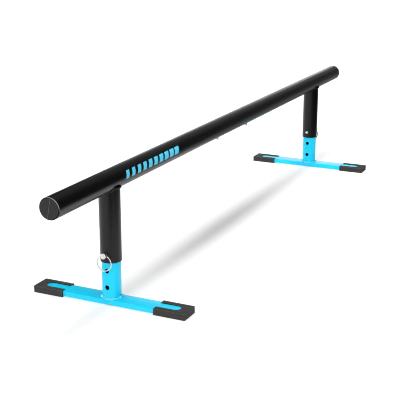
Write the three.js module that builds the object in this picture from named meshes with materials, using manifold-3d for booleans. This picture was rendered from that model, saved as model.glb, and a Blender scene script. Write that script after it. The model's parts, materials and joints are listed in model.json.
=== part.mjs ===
// A skateboard grind rail on two stands, in millimetres, with +Z up.
//
// The rail is a round steel tube along X, made in two halves that a joiner tube holds in line.
// Two spring buttons lock the halves to the joiner from below. A leg sleeve is welded under
// each half. A stand slides up into each sleeve: an upright post with a row of holes, welded
// to a flat foot bar with rubber pads on its ends. A locking pin with a pull ring goes through
// the sleeve and one hole of the post, so the rail can be set to three heights.
//
// The origin is on the ground under the middle of the rail. The near end is -X, the far end
// +X, the left pads are at +Y and the right ones at -Y.

import * as THREE from 'three';
import { mergeVertices } from 'three/addons/utils/BufferGeometryUtils.js';
import Module from 'manifold-3d';

const wasm = await Module();
wasm.setup();

// Clearances that all pieces share
const seatGap = 0.3; // between a piece and what it rests on or fits into
const cutOverrun = 5; // how far a cutter runs past what it cuts
const mergeTolerance = 0.001; // corners of one solid that are closer than this are one corner

// Rail tube
const railLength = 1900; // over the end caps
const railDiameter = 50.8;
const railWall = 2;

// Plastic caps in the rail's ends
const capFlange = 3;
const capRimRadius = 2;
const capPlugLength = 16;
const capPlugWall = 2.5;

// Joiner tube inside the rail's middle
const joinerLength = 300;
const joinerWall = 2.5;

// Spring buttons that lock the joiner
const buttonSetback = 46; // from the joiner's end to the button's middle
const buttonDiameter = 8.5;
const buttonProud = 7.5; // how far the tip stands out below the rail
const buttonTipRadius = 2.6;
const buttonHoleClearance = 0.35; // radial
const buttonFlangeDiameter = 12;
const buttonFlangeThickness = 1.5;

// Leaf spring behind each button, a V on its side
const leafWidth = 8;
const leafThickness = 0.8;
const leafReach = 45; // from the button to the bend
const leafBendRadius = 2;
const leafOverhang = 6; // past the button's middle

// Leg sleeves
const legSetback = 246; // from the rail's end to the leg's middle
const sleeveDiameter = 50.8;
const sleeveWall = 2.3;
const sleeveLength = 169; // from its lower edge to the rail's underside
const hornDrop = 15; // from the rail's axis down to the flat tops of the saddle's two horns
const sleevePinHeight = 20.5; // pin hole above the sleeve's lower edge
const pinHoleDiameter = 11.4;

// Stands
const slidingClearance = 0.3; // radial, between the sleeve and the post
const postWall = 2.5;
const postLength = 165;
const lowestHoleHeight = 29.6; // above the foot bar
const holePitch = 41.5;
const heightCount = 3;
const barLength = 405;
const barWidth = 46;
const barHeight = 13.6;
const barWall = 2;
const barCornerRadius = 2.5;
const barBoreRadius = 0.6; // in the corners inside

// Weld beads
const saddleBeadRadius = 3.4; // round the top of the sleeve
const footBeadLeg = 4.2; // round the foot of the post
const footBeadOverhang = 1.1; // past the foot bar's edge

// Rubber foot pads
const padLength = 81.6;
const padFloor = 1.1;
const padLip = 1.2;
const padSideWall = 4.2;
const padEndWall = 2.7;
const padCornerRadius = 3;
const padSlotWidth = 24;
const padSlotMargin = 24; // from the pad's outer end to the slot's round end

// Locking pins
const pinDiameter = 9.8;
const pinTipReach = 8; // past the far side of the sleeve
const pinTipChamfer = 1.3;
const pinHeadDiameter = 14.5;
const pinHeadLength = 11.6;
const pinHeadChamfer = 0.9;
const ringHoleDiameter = 4.8;
const ringHoleDepth = 4.8; // from the head's end face to the ring hole's middle

// Spring-loaded ball in the side of each pin
const ballDiameter = 3.7;
const ballProud = 0.6;
const ballSetback = 4.6; // from the pin's tip
const ballPocketClearance = 0.3; // radial
const ballPocketFloor = 2.4; // metal left behind the pocket

// Coil spring behind each ball
const coilDiameter = 3; // to the middle of the wire
const coilWire = 0.5;
const coilTurns = 3;

// Pull rings
const ringDiameter = 38; // to the middle of the wire
const ringWire = 2.4;

// Facets round a full turn
const tubeFacets = 48;
const cutterFacets = 24;
const smallFacets = 28;
const beadFacets = 10;
const beadSteps = 48;
const ringSteps = 40;
const ringFacets = 8;
const ballFacets = 14;
const ballRings = 7;
const coilStepsPerTurn = 8;
const coilFacets = 6;
const arcSteps = 4; // in a quarter turn
const halfTurn = 180; // degrees

// Sizes that follow
const railRadius = railDiameter / 2;
const railBore = railRadius - railWall;
const sleeveRadius = sleeveDiameter / 2;
const sleeveBore = sleeveRadius - sleeveWall;
const postRadius = sleeveBore - slidingClearance;
const joinerRadius = railBore - seatGap;
const joinerBore = joinerRadius - joinerWall;
const pinRadius = pinDiameter / 2;
const pinHoleRadius = pinHoleDiameter / 2;
const ballRadius = ballDiameter / 2;

// Heights above the ground, from the pads up to the rail
const barBottom = padFloor + seatGap;
const barTop = barBottom + barHeight;
const padTop = barTop + seatGap + padLip;
const postBottom = barTop + seatGap;
const lowestHole = barTop + lowestHoleHeight;
const pinAxis = lowestHole + holePitch * (heightCount - 1);
const sleeveBottom = pinAxis - sleevePinHeight;
const railAxis = sleeveBottom + sleeveLength + railRadius;
const sleeveTop = railAxis - hornDrop;

// Places along the rail
const legX = railLength / 2 - legSetback;
const buttonX = joinerLength / 2 - buttonSetback;

// Places along a locking pin, from the leg's axis outwards
const headBack = sleeveRadius + seatGap;
const headFace = headBack + pinHeadLength;
const ringHoleX = headFace - ringHoleDepth;
const pinTip = -sleeveRadius - pinTipReach;
const ballX = pinTip + ballSetback;

// Places across a locking pin, where the ball is at -Y
const ballY = -(pinRadius + ballProud - ballRadius);
const pocketEnd = pinRadius - ballPocketFloor;

// Finishes
const finish = (color, roughness, metalness) =>
  new THREE.MeshStandardMaterial({ color, roughness, metalness });
const blackPaint = finish(0x1d1d1e, 0.42, 0);
const cyanPaint = finish(0x22c8f4, 0.4, 0);
const blackPlastic = finish(0x2e2e30, 0.5, 0);
const rubber = finish(0x3a3a3c, 0.85, 0);
const polishedSteel = finish(0xd9d9d6, 0.2, 1);
const springSteel = finish(0x8f9092, 0.35, 1);
const yellowZinc = finish(0xc8b67c, 0.35, 1);
const blackWeld = finish(0x1b1b1c, 0.5, 0);
const cyanWeld = finish(0x1fbdea, 0.45, 0);

// A closed geometry as a solid that can be joined and cut
function solidOf(geometry) {
  const bare = geometry.index ? geometry.toNonIndexed() : geometry.clone();
  bare.deleteAttribute('normal');
  bare.deleteAttribute('uv');
  const merged = mergeVertices(bare, mergeTolerance);
  return new wasm.Manifold(new wasm.Mesh({
    numProp: 3,
    vertProperties: new Float32Array(merged.attributes.position.array),
    triVerts: new Uint32Array(merged.index.array),
  }));
}

// A solid as a geometry again
function geometryOf(solid) {
  const mesh = solid.getMesh();
  const geometry = new THREE.BufferGeometry();
  geometry.setAttribute('position', new THREE.BufferAttribute(mesh.vertProperties, 3));
  geometry.setIndex(new THREE.BufferAttribute(mesh.triVerts, 1));
  geometry.computeVertexNormals();
  return geometry;
}

// A round bar between two places on a line along x, y or z
function roundBar(axis, radius, from, to, facets, across = [0, 0]) {
  const bar = new THREE.CylinderGeometry(radius, radius, to - from, facets);
  bar.translate(0, (from + to) / 2, 0);
  if (axis === 'x') {
    bar.rotateZ(-Math.PI / 2);
    bar.translate(0, across[0], across[1]);
  }
  if (axis === 'y') {
    bar.translate(across[0], 0, across[1]);
  }
  if (axis === 'z') {
    bar.rotateX(Math.PI / 2);
    bar.translate(across[0], across[1], 0);
  }
  return solidOf(bar);
}

// A profile of [radius, place] points turned round the z axis
function turned(profile, facets) {
  const points = profile.map(([radius, place]) => new THREE.Vector2(radius, place));
  return new THREE.LatheGeometry(points, facets).rotateX(Math.PI / 2);
}

// The same, turned round the x axis
function turnedAlongX(profile, facets) {
  return turned(profile, facets).rotateY(Math.PI / 2);
}

// A tube between two places, as a profile to turn
function tubeProfile(outer, inner, from, to) {
  return [[inner, from], [outer, from], [outer, to], [inner, to], [inner, from]];
}

// Points of a quarter round, from one angle to another in quarter turns
function roundPoints(centreRadius, centrePlace, radius, fromQuarter, toQuarter) {
  const points = [];
  for (let i = 0; i <= arcSteps; i++) {
    const angle = (fromQuarter + (toQuarter - fromQuarter) * i / arcSteps) * Math.PI / 2;
    points.push([centreRadius + radius * Math.cos(angle), centrePlace + radius * Math.sin(angle)]);
  }
  return points;
}

// A rectangle with round corners, about its middle
function roundedRectangle(width, height, radius) {
  const x = width / 2;
  const y = height / 2;
  const shape = new THREE.Shape();
  shape.moveTo(-x + radius, -y);
  shape.lineTo(x - radius, -y);
  shape.absarc(x - radius, -y + radius, radius, -Math.PI / 2, 0, false);
  shape.lineTo(x, y - radius);
  shape.absarc(x - radius, y - radius, radius, 0, Math.PI / 2, false);
  shape.lineTo(-x + radius, y);
  shape.absarc(-x + radius, y - radius, radius, Math.PI / 2, Math.PI, false);
  shape.lineTo(-x, -y + radius);
  shape.absarc(-x + radius, -y + radius, radius, Math.PI, 1.5 * Math.PI, false);
  return shape;
}

// An x-y outline extruded up the z axis
function extruded(shape, depth) {
  return new THREE.ExtrudeGeometry(shape, { depth, bevelEnabled: false, curveSegments: arcSteps });
}

// An x-z outline extruded along y, from one place to another
function extrudedAlongY(shape, from, to) {
  return extruded(shape, to - from).rotateX(Math.PI / 2).translate(0, to, 0);
}

const origin = new THREE.Group();
origin.name = 'grind_rail';

// A named piece in its group
function place(parent, name, geometry, material) {
  const mesh = new THREE.Mesh(geometry, material);
  mesh.name = name;
  parent.add(mesh);
  return mesh;
}

// Half of the rail's tube, at the far end: the seam is at the middle of the rail
function railTube() {
  const from = seatGap / 2;
  const to = railLength / 2 - capFlange - seatGap;
  const tube = solidOf(turnedAlongX(tubeProfile(railRadius, railBore, from, to), tubeFacets));
  return geometryOf(tube.subtract(buttonHole(railRadius)).translate(0, 0, railAxis));
}

// Cutter for the hole that a spring button comes out of, down from the tube's axis
function buttonHole(depth) {
  const radius = buttonDiameter / 2 + buttonHoleClearance;
  return roundBar('z', radius, -depth - cutOverrun, 0, cutterFacets, [buttonX, 0]);
}

// Joiner tube, with a button hole at each end
function joinerTube() {
  const half = joinerLength / 2;
  const profile = tubeProfile(joinerRadius, joinerBore, -half, half);
  const hole = buttonHole(joinerRadius);
  const tube = solidOf(turnedAlongX(profile, tubeFacets));
  const mirroredHole = buttonHole(joinerRadius).rotate([0, 0, halfTurn]);
  return geometryOf(tube.subtract(hole).subtract(mirroredHole).translate(0, 0, railAxis));
}

// End cap at the far end: a flange as wide as the rail, and a hollow plug inside it
function endCap() {
  const face = railLength / 2;
  const back = face - capFlange;
  const plugRadius = railBore - seatGap;
  const rim = roundPoints(railRadius - capRimRadius, face - capRimRadius, capRimRadius, 0, 1);
  const profile = [
    [0, back],
    [plugRadius - capPlugWall, back],
    [plugRadius - capPlugWall, back - capPlugLength],
    [plugRadius, back - capPlugLength],
    [plugRadius, back],
    [railRadius, back],
    ...rim,
    [0, face],
  ];
  return turnedAlongX(profile, tubeFacets).translate(0, 0, railAxis);
}

// Height over the rail's axis of the button's flange, where it rests in the joiner's round bore
function buttonFlangeSeat() {
  const flangeRadius = buttonFlangeDiameter / 2;
  return seatGap - Math.sqrt(joinerBore ** 2 - flangeRadius ** 2);
}

// Spring button at the far half: a round tip, a shank and a flange inside the joiner
function snapButton() {
  const radius = buttonDiameter / 2;
  const tip = -railRadius - buttonProud;
  const seat = buttonFlangeSeat();
  const top = seat + buttonFlangeThickness;
  const dome = roundPoints(radius - buttonTipRadius, tip + buttonTipRadius, buttonTipRadius, -1, 0);
  const profile = [
    [0, tip],
    ...dome,
    [radius, seat],
    [buttonFlangeDiameter / 2, seat],
    [buttonFlangeDiameter / 2, top],
    [0, top],
  ];
  return turned(profile, smallFacets).translate(buttonX, 0, railAxis);
}

// Leaf spring at the far half: it lies on the button's flange, bends back and bears on the
// top of the joiner's bore
function buttonSpring() {
  const half = leafThickness / 2;
  const low = buttonFlangeSeat() + buttonFlangeThickness + seatGap + half;
  const high = Math.sqrt(joinerBore ** 2 - (leafWidth / 2) ** 2) - seatGap - half;
  const bendX = buttonX - leafReach;
  const bend = roundPoints(bendX, 0, leafBendRadius, -1, -3);
  const middle = [
    [buttonX + leafOverhang, low],
    [buttonX - leafOverhang, low],
    ...bend,
    [buttonX + leafOverhang, high],
  ].map(([x, z]) => new THREE.Vector2(x, z));
  const sides = middle.map((point, i) => {
    const before = middle[Math.max(i - 1, 0)];
    const after = middle[Math.min(i + 1, middle.length - 1)];
    const along = after.clone().sub(before).normalize();
    return new THREE.Vector2(-along.y, along.x).multiplyScalar(half);
  });
  const left = middle.map((point, i) => point.clone().add(sides[i]));
  const right = middle.map((point, i) => point.clone().sub(sides[i]));
  const outline = new THREE.Shape([...left, ...right.reverse()]);
  return extrudedAlongY(outline, -leafWidth / 2, leafWidth / 2).translate(0, 0, railAxis);
}

// Cutter for a pin hole through a leg, at a height
function pinHole(height) {
  const reach = sleeveRadius + cutOverrun;
  return roundBar('x', pinHoleRadius, -reach, reach, cutterFacets, [0, height]);
}

// The rail's outside, as a cutter over a leg
function railCutter() {
  const reach = sleeveRadius + cutOverrun;
  return roundBar('x', railRadius + seatGap, -reach, reach, tubeFacets, [0, railAxis]);
}

// Leg sleeve, about its own axis: a shallow saddle is cut for the rail, between two blunt horns
function legSleeve() {
  const profile = tubeProfile(sleeveRadius, sleeveBore, sleeveBottom, sleeveTop);
  const tube = solidOf(turned(profile, tubeFacets));
  return geometryOf(tube.subtract(railCutter()).subtract(pinHole(pinAxis)));
}

// The seam where the sleeve meets the rail: it dips before and behind, and runs level over the horns
class SaddleSeam extends THREE.Curve {
  getPoint(share) {
    const angle = share * 2 * Math.PI;
    const x = sleeveRadius * Math.cos(angle);
    const y = sleeveRadius * Math.sin(angle);
    const drop = Math.sqrt(Math.max(railRadius ** 2 - y ** 2, hornDrop ** 2));
    return new THREE.Vector3(x, y, railAxis - drop);
  }
}

// Weld bead along that seam, outside both tubes, which fills the notch over each horn
function saddleWeld() {
  const round = new THREE.TubeGeometry(new SaddleSeam(), beadSteps, saddleBeadRadius, beadFacets, true);
  const sleeve = roundBar('z', sleeveRadius + seatGap, sleeveBottom, sleeveTop + seatGap, tubeFacets);
  return geometryOf(solidOf(round).subtract(sleeve).subtract(railCutter()));
}

// Post with its row of pin holes, about its own axis
function legPost() {
  const profile = tubeProfile(postRadius, postRadius - postWall, postBottom, postBottom + postLength);
  let post = solidOf(turned(profile, tubeFacets));
  for (let i = 0; i < heightCount; i++) {
    post = post.subtract(pinHole(lowestHole + holePitch * i));
  }
  return geometryOf(post);
}

// Weld bead round the foot of the post, trimmed near the foot bar's edges
function postWeld() {
  const inner = postRadius + seatGap;
  const slope = roundPoints(inner, postBottom, footBeadLeg, 0, 1);
  const bead = solidOf(turned([[inner, postBottom], ...slope, [inner, postBottom]], tubeFacets));
  const width = barWidth + 2 * footBeadOverhang;
  const length = 2 * (postRadius + footBeadLeg + cutOverrun);
  const height = 2 * (footBeadLeg + cutOverrun);
  const window = new THREE.BoxGeometry(width, length, height).translate(0, 0, postBottom);
  return geometryOf(bead.intersect(solidOf(window)));
}

// Flat rectangular tube that the post stands on, along Y
function footBar() {
  const outline = roundedRectangle(barWidth, barHeight, barCornerRadius);
  const bore = roundedRectangle(barWidth - 2 * barWall, barHeight - 2 * barWall, barBoreRadius);
  outline.holes.push(new THREE.Path(bore.getPoints(arcSteps).reverse()));
  const bar = extrudedAlongY(outline, -barLength / 2, barLength / 2);
  return bar.translate(0, 0, barBottom + barHeight / 2);
}

// Rubber pad on the bar's +Y end: a sleeve with a floor, an end wall and a slot in its top
function footPad() {
  const width = barWidth + 2 * (seatGap + padSideWall);
  const end = barLength / 2 + seatGap + padEndWall;
  const start = end - padLength;
  const block = extruded(roundedRectangle(width, padLength + cutOverrun, padCornerRadius), padTop);
  block.translate(0, end - (padLength + cutOverrun) / 2, 0);
  const innerCut = new THREE.BoxGeometry(width + cutOverrun, 2 * cutOverrun, 2 * (padTop + cutOverrun));
  innerCut.translate(0, start - cutOverrun, 0);
  const room = roundedRectangle(barWidth + 2 * seatGap, barHeight + 2 * seatGap, barCornerRadius);
  const pocket = extrudedAlongY(room, start - cutOverrun, barLength / 2 + seatGap);
  pocket.translate(0, 0, barBottom + barHeight / 2);
  const slotLength = padLength - padSlotMargin + cutOverrun + padSlotWidth;
  const slotShape = roundedRectangle(padSlotWidth, slotLength, padSlotWidth / 2);
  const slot = extruded(slotShape, padTop - barTop + cutOverrun);
  slot.translate(0, end - padSlotMargin - slotLength / 2, barTop);
  const pad = solidOf(block).subtract(solidOf(innerCut)).subtract(solidOf(pocket));
  return geometryOf(pad.subtract(solidOf(slot)));
}

// Locking pin along X, from its chamfered tip inside to its head outside
function lockPin() {
  const headRadius = pinHeadDiameter / 2;
  const profile = [
    [0, pinTip],
    [pinRadius - pinTipChamfer, pinTip],
    [pinRadius, pinTip + pinTipChamfer],
    [pinRadius, headBack],
    [headRadius - pinHeadChamfer, headBack],
    [headRadius, headBack + pinHeadChamfer],
    [headRadius, headFace - pinHeadChamfer],
    [headRadius - pinHeadChamfer, headFace],
    [0, headFace],
  ];
  const pin = solidOf(turnedAlongX(profile, smallFacets));
  const reach = headRadius + cutOverrun;
  const ringHole = roundBar('y', ringHoleDiameter / 2, -reach, reach, cutterFacets, [ringHoleX, 0]);
  const pocketRadius = ballRadius + ballPocketClearance;
  const pocket = roundBar('y', pocketRadius, -reach, pocketEnd, cutterFacets, [ballX, 0]);
  return geometryOf(pin.subtract(ringHole).subtract(pocket).translate(0, 0, pinAxis));
}

// Ball that keeps the pin from sliding out
function detentBall() {
  const ball = new THREE.SphereGeometry(ballRadius, ballFacets, ballRings);
  return ball.translate(ballX, ballY, pinAxis);
}

// A helix round the y axis
class Helix extends THREE.Curve {
  constructor(radius, length, turns) {
    super();
    Object.assign(this, { radius, length, turns });
  }

  getPoint(share) {
    const angle = share * this.turns * 2 * Math.PI;
    const x = this.radius * Math.cos(angle);
    const z = this.radius * Math.sin(angle);
    return new THREE.Vector3(x, share * this.length, z);
  }
}

// Coil spring in the pocket, between the ball and the pocket's floor
function detentSpring() {
  const from = ballY + ballRadius + seatGap + coilWire / 2;
  const to = pocketEnd - seatGap - coilWire / 2;
  const section = new THREE.Shape();
  section.absarc(0, 0, coilWire / 2, 0, 2 * Math.PI, false);
  const coil = new THREE.ExtrudeGeometry(section, {
    steps: coilTurns * coilStepsPerTurn,
    curveSegments: coilFacets / 2,
    extrudePath: new Helix(coilDiameter / 2, to - from, coilTurns),
  });
  return coil.translate(ballX, from, pinAxis);
}

// Pull ring, hanging in the head's cross hole; its wire bows by half its sag above the hole's middle
function pullRing() {
  const radius = ringDiameter / 2;
  const headRadius = pinHeadDiameter / 2;
  const sag = radius - Math.sqrt(radius ** 2 - headRadius ** 2);
  const ring = new THREE.TorusGeometry(radius, ringWire / 2, ringFacets, ringSteps);
  return ring.rotateY(Math.PI / 2).translate(ringHoleX, 0, pinAxis + sag / 2 - radius);
}

// The far end is built at +X. The near end is the same, turned half round about Z.
const railEnds = [
  { name: 'far', turn: 0, padAtPlusY: 'left', padAtMinusY: 'right' },
  { name: 'near', turn: Math.PI, padAtPlusY: 'right', padAtMinusY: 'left' },
];

place(origin, 'joiner_tube', joinerTube(), springSteel);

for (const end of railEnds) {
  const half = new THREE.Group();
  half.rotation.z = end.turn;
  origin.add(half);
  place(half, `rail_tube_${end.name}`, railTube(), blackPaint);
  place(half, `end_cap_${end.name}`, endCap(), blackPlastic);
  place(half, `snap_button_${end.name}`, snapButton(), yellowZinc);
  place(half, `button_spring_${end.name}`, buttonSpring(), springSteel);

  const leg = new THREE.Group();
  leg.position.x = legX;
  half.add(leg);
  place(leg, `leg_sleeve_${end.name}`, legSleeve(), blackPaint);
  place(leg, `saddle_weld_${end.name}`, saddleWeld(), blackWeld);
  place(leg, `leg_post_${end.name}`, legPost(), cyanPaint);
  place(leg, `post_weld_${end.name}`, postWeld(), cyanWeld);
  place(leg, `foot_bar_${end.name}`, footBar(), cyanPaint);
  place(leg, `foot_pad_${end.name}_${end.padAtPlusY}`, footPad(), rubber);
  place(leg, `foot_pad_${end.name}_${end.padAtMinusY}`, footPad(), rubber).rotation.z = Math.PI;
  place(leg, `lock_pin_${end.name}`, lockPin(), polishedSteel);
  place(leg, `detent_ball_${end.name}`, detentBall(), polishedSteel);
  place(leg, `detent_spring_${end.name}`, detentSpring(), springSteel);
  place(leg, `pull_ring_${end.name}`, pullRing(), polishedSteel);
}

export default origin;
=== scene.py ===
# %% [markdown]
# # A skateboard grind rail, dressed for its picture
#
# A construction model of the rail already exists: every tube, pin and joint, at its real size.
# This notebook adds the looks. The model is loaded first, and never moved or changed. A finer
# piece takes its size and place from the construction piece that it stands for.

# %% Load the construction model
import json
import math

import bmesh
import bpy
from mathutils import Matrix, Vector


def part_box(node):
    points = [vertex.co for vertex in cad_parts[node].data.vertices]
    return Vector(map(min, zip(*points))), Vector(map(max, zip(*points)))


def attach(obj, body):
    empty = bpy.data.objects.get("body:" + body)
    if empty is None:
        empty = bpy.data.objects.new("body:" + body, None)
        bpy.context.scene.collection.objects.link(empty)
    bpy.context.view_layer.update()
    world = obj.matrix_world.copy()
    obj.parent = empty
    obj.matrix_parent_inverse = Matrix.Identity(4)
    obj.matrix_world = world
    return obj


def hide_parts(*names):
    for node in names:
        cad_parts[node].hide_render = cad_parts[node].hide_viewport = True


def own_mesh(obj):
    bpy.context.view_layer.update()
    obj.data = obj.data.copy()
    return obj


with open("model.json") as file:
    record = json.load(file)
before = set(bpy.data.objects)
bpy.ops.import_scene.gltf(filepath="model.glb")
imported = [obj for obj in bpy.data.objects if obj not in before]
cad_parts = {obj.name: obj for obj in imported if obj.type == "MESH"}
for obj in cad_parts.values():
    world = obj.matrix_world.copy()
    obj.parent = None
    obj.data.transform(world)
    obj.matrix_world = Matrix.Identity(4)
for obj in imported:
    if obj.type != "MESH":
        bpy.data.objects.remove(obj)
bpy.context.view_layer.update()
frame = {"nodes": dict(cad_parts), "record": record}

MM = 0.001
print("construction pieces:", len(frame["nodes"]))

# %% [markdown]
# ## The camera
#
# The photograph looks along the rail from near one end, from a little under a metre up. The
# camera's place, direction and lens were solved from the edges of the tubes, the feet and the
# holes, so the picture has the same perspective.

# %% Place the camera
SENSOR = 36
FRAME_HEIGHT = 407
FOCAL_PIXELS = 976.6
CAMERA_PLACE = (-2.5621, -1.1101, 0.9074)
CAMERA_LOOK = Vector((0.8640, 0.4089, -0.2937))


def add_object(name, data):
    """Puts a new object into the scene."""
    thing = bpy.data.objects.new(name, data)
    bpy.context.scene.collection.objects.link(thing)
    return thing


def point(thing, place, look):
    """Puts a camera or a lamp at a place and points it in a direction."""
    thing.location = place
    thing.rotation_euler = look.to_track_quat("-Z", "Y").to_euler()


lens_data = bpy.data.cameras.new("camera")
lens_data.sensor_width = SENSOR
lens_data.lens = FOCAL_PIXELS * SENSOR / FRAME_HEIGHT
camera = add_object("camera", lens_data)
point(camera, CAMERA_PLACE, CAMERA_LOOK)
bpy.context.scene.camera = camera
# The photograph is crisp, so a pixel gathers light from little more than its own width
bpy.context.scene.cycles.filter_width = 1.0
print("lens in millimetres:", round(lens_data.lens, 1))

# %% [markdown]
# ## Working with nodes
#
# The light, the floor and every finish are drawn with shader nodes. Each node is one small step,
# such as a sum or a noise, and links carry numbers and colours from one to the next. In a script
# that takes many lines, so a few helpers come first. The main one lets a sum be written as in a
# book: each sign adds a Math node.

# %% Sums of outputs


class Output:
    """A node's output that can stand in a sum."""

    def __init__(self, socket):
        self.socket = socket
        self.tree = socket.id_data

    def then(self, operation, *others, clamp=False):
        """A Math node that starts from this output; returns its own output."""
        node = self.tree.nodes.new("ShaderNodeMath")
        node.operation = operation
        node.use_clamp = clamp
        for socket, value in zip(node.inputs, (self, *others)):
            put(socket, value)
        return Output(node.outputs[0])

    def __add__(self, other):
        return self.then("ADD", other)

    def __sub__(self, other):
        return self.then("SUBTRACT", other)

    def __mul__(self, other):
        return self.then("MULTIPLY", other)

    def __abs__(self):
        return self.then("ABSOLUTE")


# %% Filling and adding nodes


def put(socket, value):
    """Fills a socket with a number or colour, or links another node's output to it."""
    if isinstance(value, Output):
        value.tree.links.new(value.socket, socket)
    else:
        socket.default_value = (*value[:3], 1) if socket.type == "RGBA" else value


def feed(node, **values):
    """Fills a node's sockets by name, with _ for a space."""
    for name, value in values.items():
        put(node.inputs[name.replace("_", " ")], value)


def outputs_of(node):
    """A node's outputs by name."""
    return {socket.name: Output(socket) for socket in node.outputs}


def add_node(tree, kind, settings=(), **values):
    """Adds a node, sets it up and feeds it; returns its outputs by name."""
    node = tree.nodes.new("ShaderNode" + kind)
    for setting, value in dict(settings).items():
        setattr(node, setting, value)
    feed(node, **values)
    return outputs_of(node)


def split(vector):
    """The X, Y and Z of a place or a direction."""
    return add_node(vector.tree, "SeparateXYZ", Vector=vector).values()


def object_coordinates(tree):
    """Where a point lies on the object, in metres."""
    return add_node(tree, "TexCoord")["Object"]


def new_material(name, **values):
    """A material whose Principled shader is fed some values; returns both."""
    material = bpy.data.materials.new(name)
    material.use_nodes = True
    shader = material.node_tree.nodes["Principled BSDF"]
    feed(shader, **values)
    return material, shader


print("node helpers are ready")

# %% [markdown]
# ## Floor and light
#
# The photograph is a studio shot on white. A soft light hangs over the rail and leaves one long
# soft shadow under it. The walls of the studio are mostly dark, and that darkness, mirrored in the
# black paint, draws the rail's dark core.
#
# A picture of a studio could be wrapped round the scene for this. A sky drawn with a few nodes is
# easier to read and to change.

# %% Lay the floor
FLOOR_SIZE = 40
FLOOR_WHITE = 0.776


def leave_edit_mode():
    """Goes back to object mode and deselects everything."""
    if bpy.context.mode != "OBJECT":
        bpy.ops.object.mode_set(mode="OBJECT")
    bpy.ops.object.select_all(action="DESELECT")


def name_it(name):
    """Names the object that was just added, and returns it."""
    bpy.context.object.name = name
    return bpy.context.object


leave_edit_mode()
bpy.ops.mesh.primitive_plane_add(size=FLOOR_SIZE)
floor = name_it("studio_floor")
floor_material, floor_shader = new_material(
    "white_paper_floor", Base_Color=(FLOOR_WHITE,) * 3, Roughness=1, Specular_IOR_Level=0)
floor.data.materials.append(floor_material)
print("floor side in metres:", FLOOR_SIZE)

# %% [markdown]
# From low down the camera looks over the end of the floor. A round white wall stands there, so the
# background stays white. Only the camera sees it: light and reflections come from the sky.

# %% Put up the wall
WALL_SIDES = 96
WALL_RADIUS = 19.5
WALL_HEIGHT = 16


def make_screen(name, brightness, ray):
    """Makes the object that was just added glow evenly, for one kind of ray only."""
    screen = name_it(name)
    material, _ = new_material(name, Base_Color=(0, 0, 0), Specular_IOR_Level=0,
                               Emission_Color=(1, 1, 1), Emission_Strength=brightness)
    screen.data.materials.append(material)
    for kind in ("camera", "diffuse", "glossy", "transmission", "shadow"):
        setattr(screen, "visible_" + kind, kind == ray)
    return screen


leave_edit_mode()
bpy.ops.mesh.primitive_cylinder_add(vertices=WALL_SIDES, radius=WALL_RADIUS, depth=WALL_HEIGHT,
                                    end_fill_type="NOTHING", location=(0, 0, WALL_HEIGHT / 2))
wall = make_screen("studio_wall", 1, "camera")
print("wall radius in metres:", WALL_RADIUS)

# %% [markdown]
# The studio's walls are part of the sky. Most of it is dark, with a pale ceiling and six windows.
#
# The texture coordinate of a world shader is the direction that is looked in. Its height and its
# turn round the room say whether that direction meets a window. One node group draws a window, and
# the sky uses it six times.

# %% Node group helpers


def steps(value, low, high, to_low=0.0, to_high=1.0):
    """A value mapped smoothly from one range to another."""
    return add_node(value.tree, "MapRange", {"interpolation_type": "SMOOTHSTEP"}, Value=value,
                    From_Min=low, From_Max=high, To_Min=to_low, To_Max=to_high)["Result"]


def new_group(name, inputs, outputs):
    """An empty node group; returns it with its inputs by name and its output node."""
    group = bpy.data.node_groups.new(name, "ShaderNodeTree")
    for side, sockets in (("INPUT", inputs), ("OUTPUT", outputs)):
        for socket in sockets.split(", "):
            socket_name, _, kind = socket.partition(":")
            group.interface.new_socket(socket_name, in_out=side,
                                       socket_type="NodeSocket" + (kind or "Float"))
    print("group:", name)
    return group, outputs_of(group.nodes.new("NodeGroupInput")), group.nodes.new("NodeGroupOutput")


def add_group(tree, group, **values):
    """Puts a node group into a tree and feeds it; returns its outputs by name."""
    return add_node(tree, "Group", {"node_tree": group}, **values)


# %% Group: window
window_group, given, window_out = new_group(
    "window", "Direction:Vector, Turn, Half width, Low, High, Softness, Glow", "Glow")
ahead, aside, upward = split(given["Direction"])
beside = (aside.then("ARCTAN2", ahead) - given["Turn"]).then("COSINE").then("ARCCOSINE")
height = upward.then("ARCSINE")
above_low = height - given["Low"]
below_high = given["High"] - height
inside = (given["Half width"] - beside).then("MINIMUM", above_low.then("MINIMUM", below_high))
half_soft = given["Softness"] * 0.5
feed(window_out, Glow=steps(inside, half_soft * -1, half_soft) * given["Glow"])

# %% Build the sky
CEILING_GLOW = 0.28
CEILING_POWER = 3
# Turn from +X, half width, lowest and highest angle, all in degrees, then brightness
WINDOWS = {
    "behind the camera": (190, 84, 8, 42, 1.5),
    "high at the right": (218, 42, 53, 73, 4.5),
    "behind the rail": (8, 22, 10, 55, 0.12),
    "past the far end": (5, 13, -5, 20, 0.42),
    "at the horizon": (-13, 7, -3, 9, 0.24),
    "low at the left": (75, 14, 0, 16, 10),
}
WINDOW_SOFTNESS = math.radians(8)

sky = bpy.data.worlds.new("studio_sky")
sky.use_nodes = True
bpy.context.scene.world = sky
direction = add_node(sky.node_tree, "TexCoord")["Generated"]
ahead, aside, upward = split(direction)
glow = upward.then("MAXIMUM", 0).then("POWER", CEILING_POWER) * CEILING_GLOW
for place, (*degrees, brightness) in WINDOWS.items():
    turn, half_width, low, high = map(math.radians, degrees)
    glow += add_group(sky.node_tree, window_group, Direction=direction, Turn=turn, Low=low,
                      High=high, Half_width=half_width, Softness=WINDOW_SOFTNESS,
                      Glow=brightness)["Glow"]
    print("window", place, "turned", degrees[0], "degrees")
feed(sky.node_tree.nodes["Background"], Color=(1, 1, 1), Strength=glow)

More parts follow.
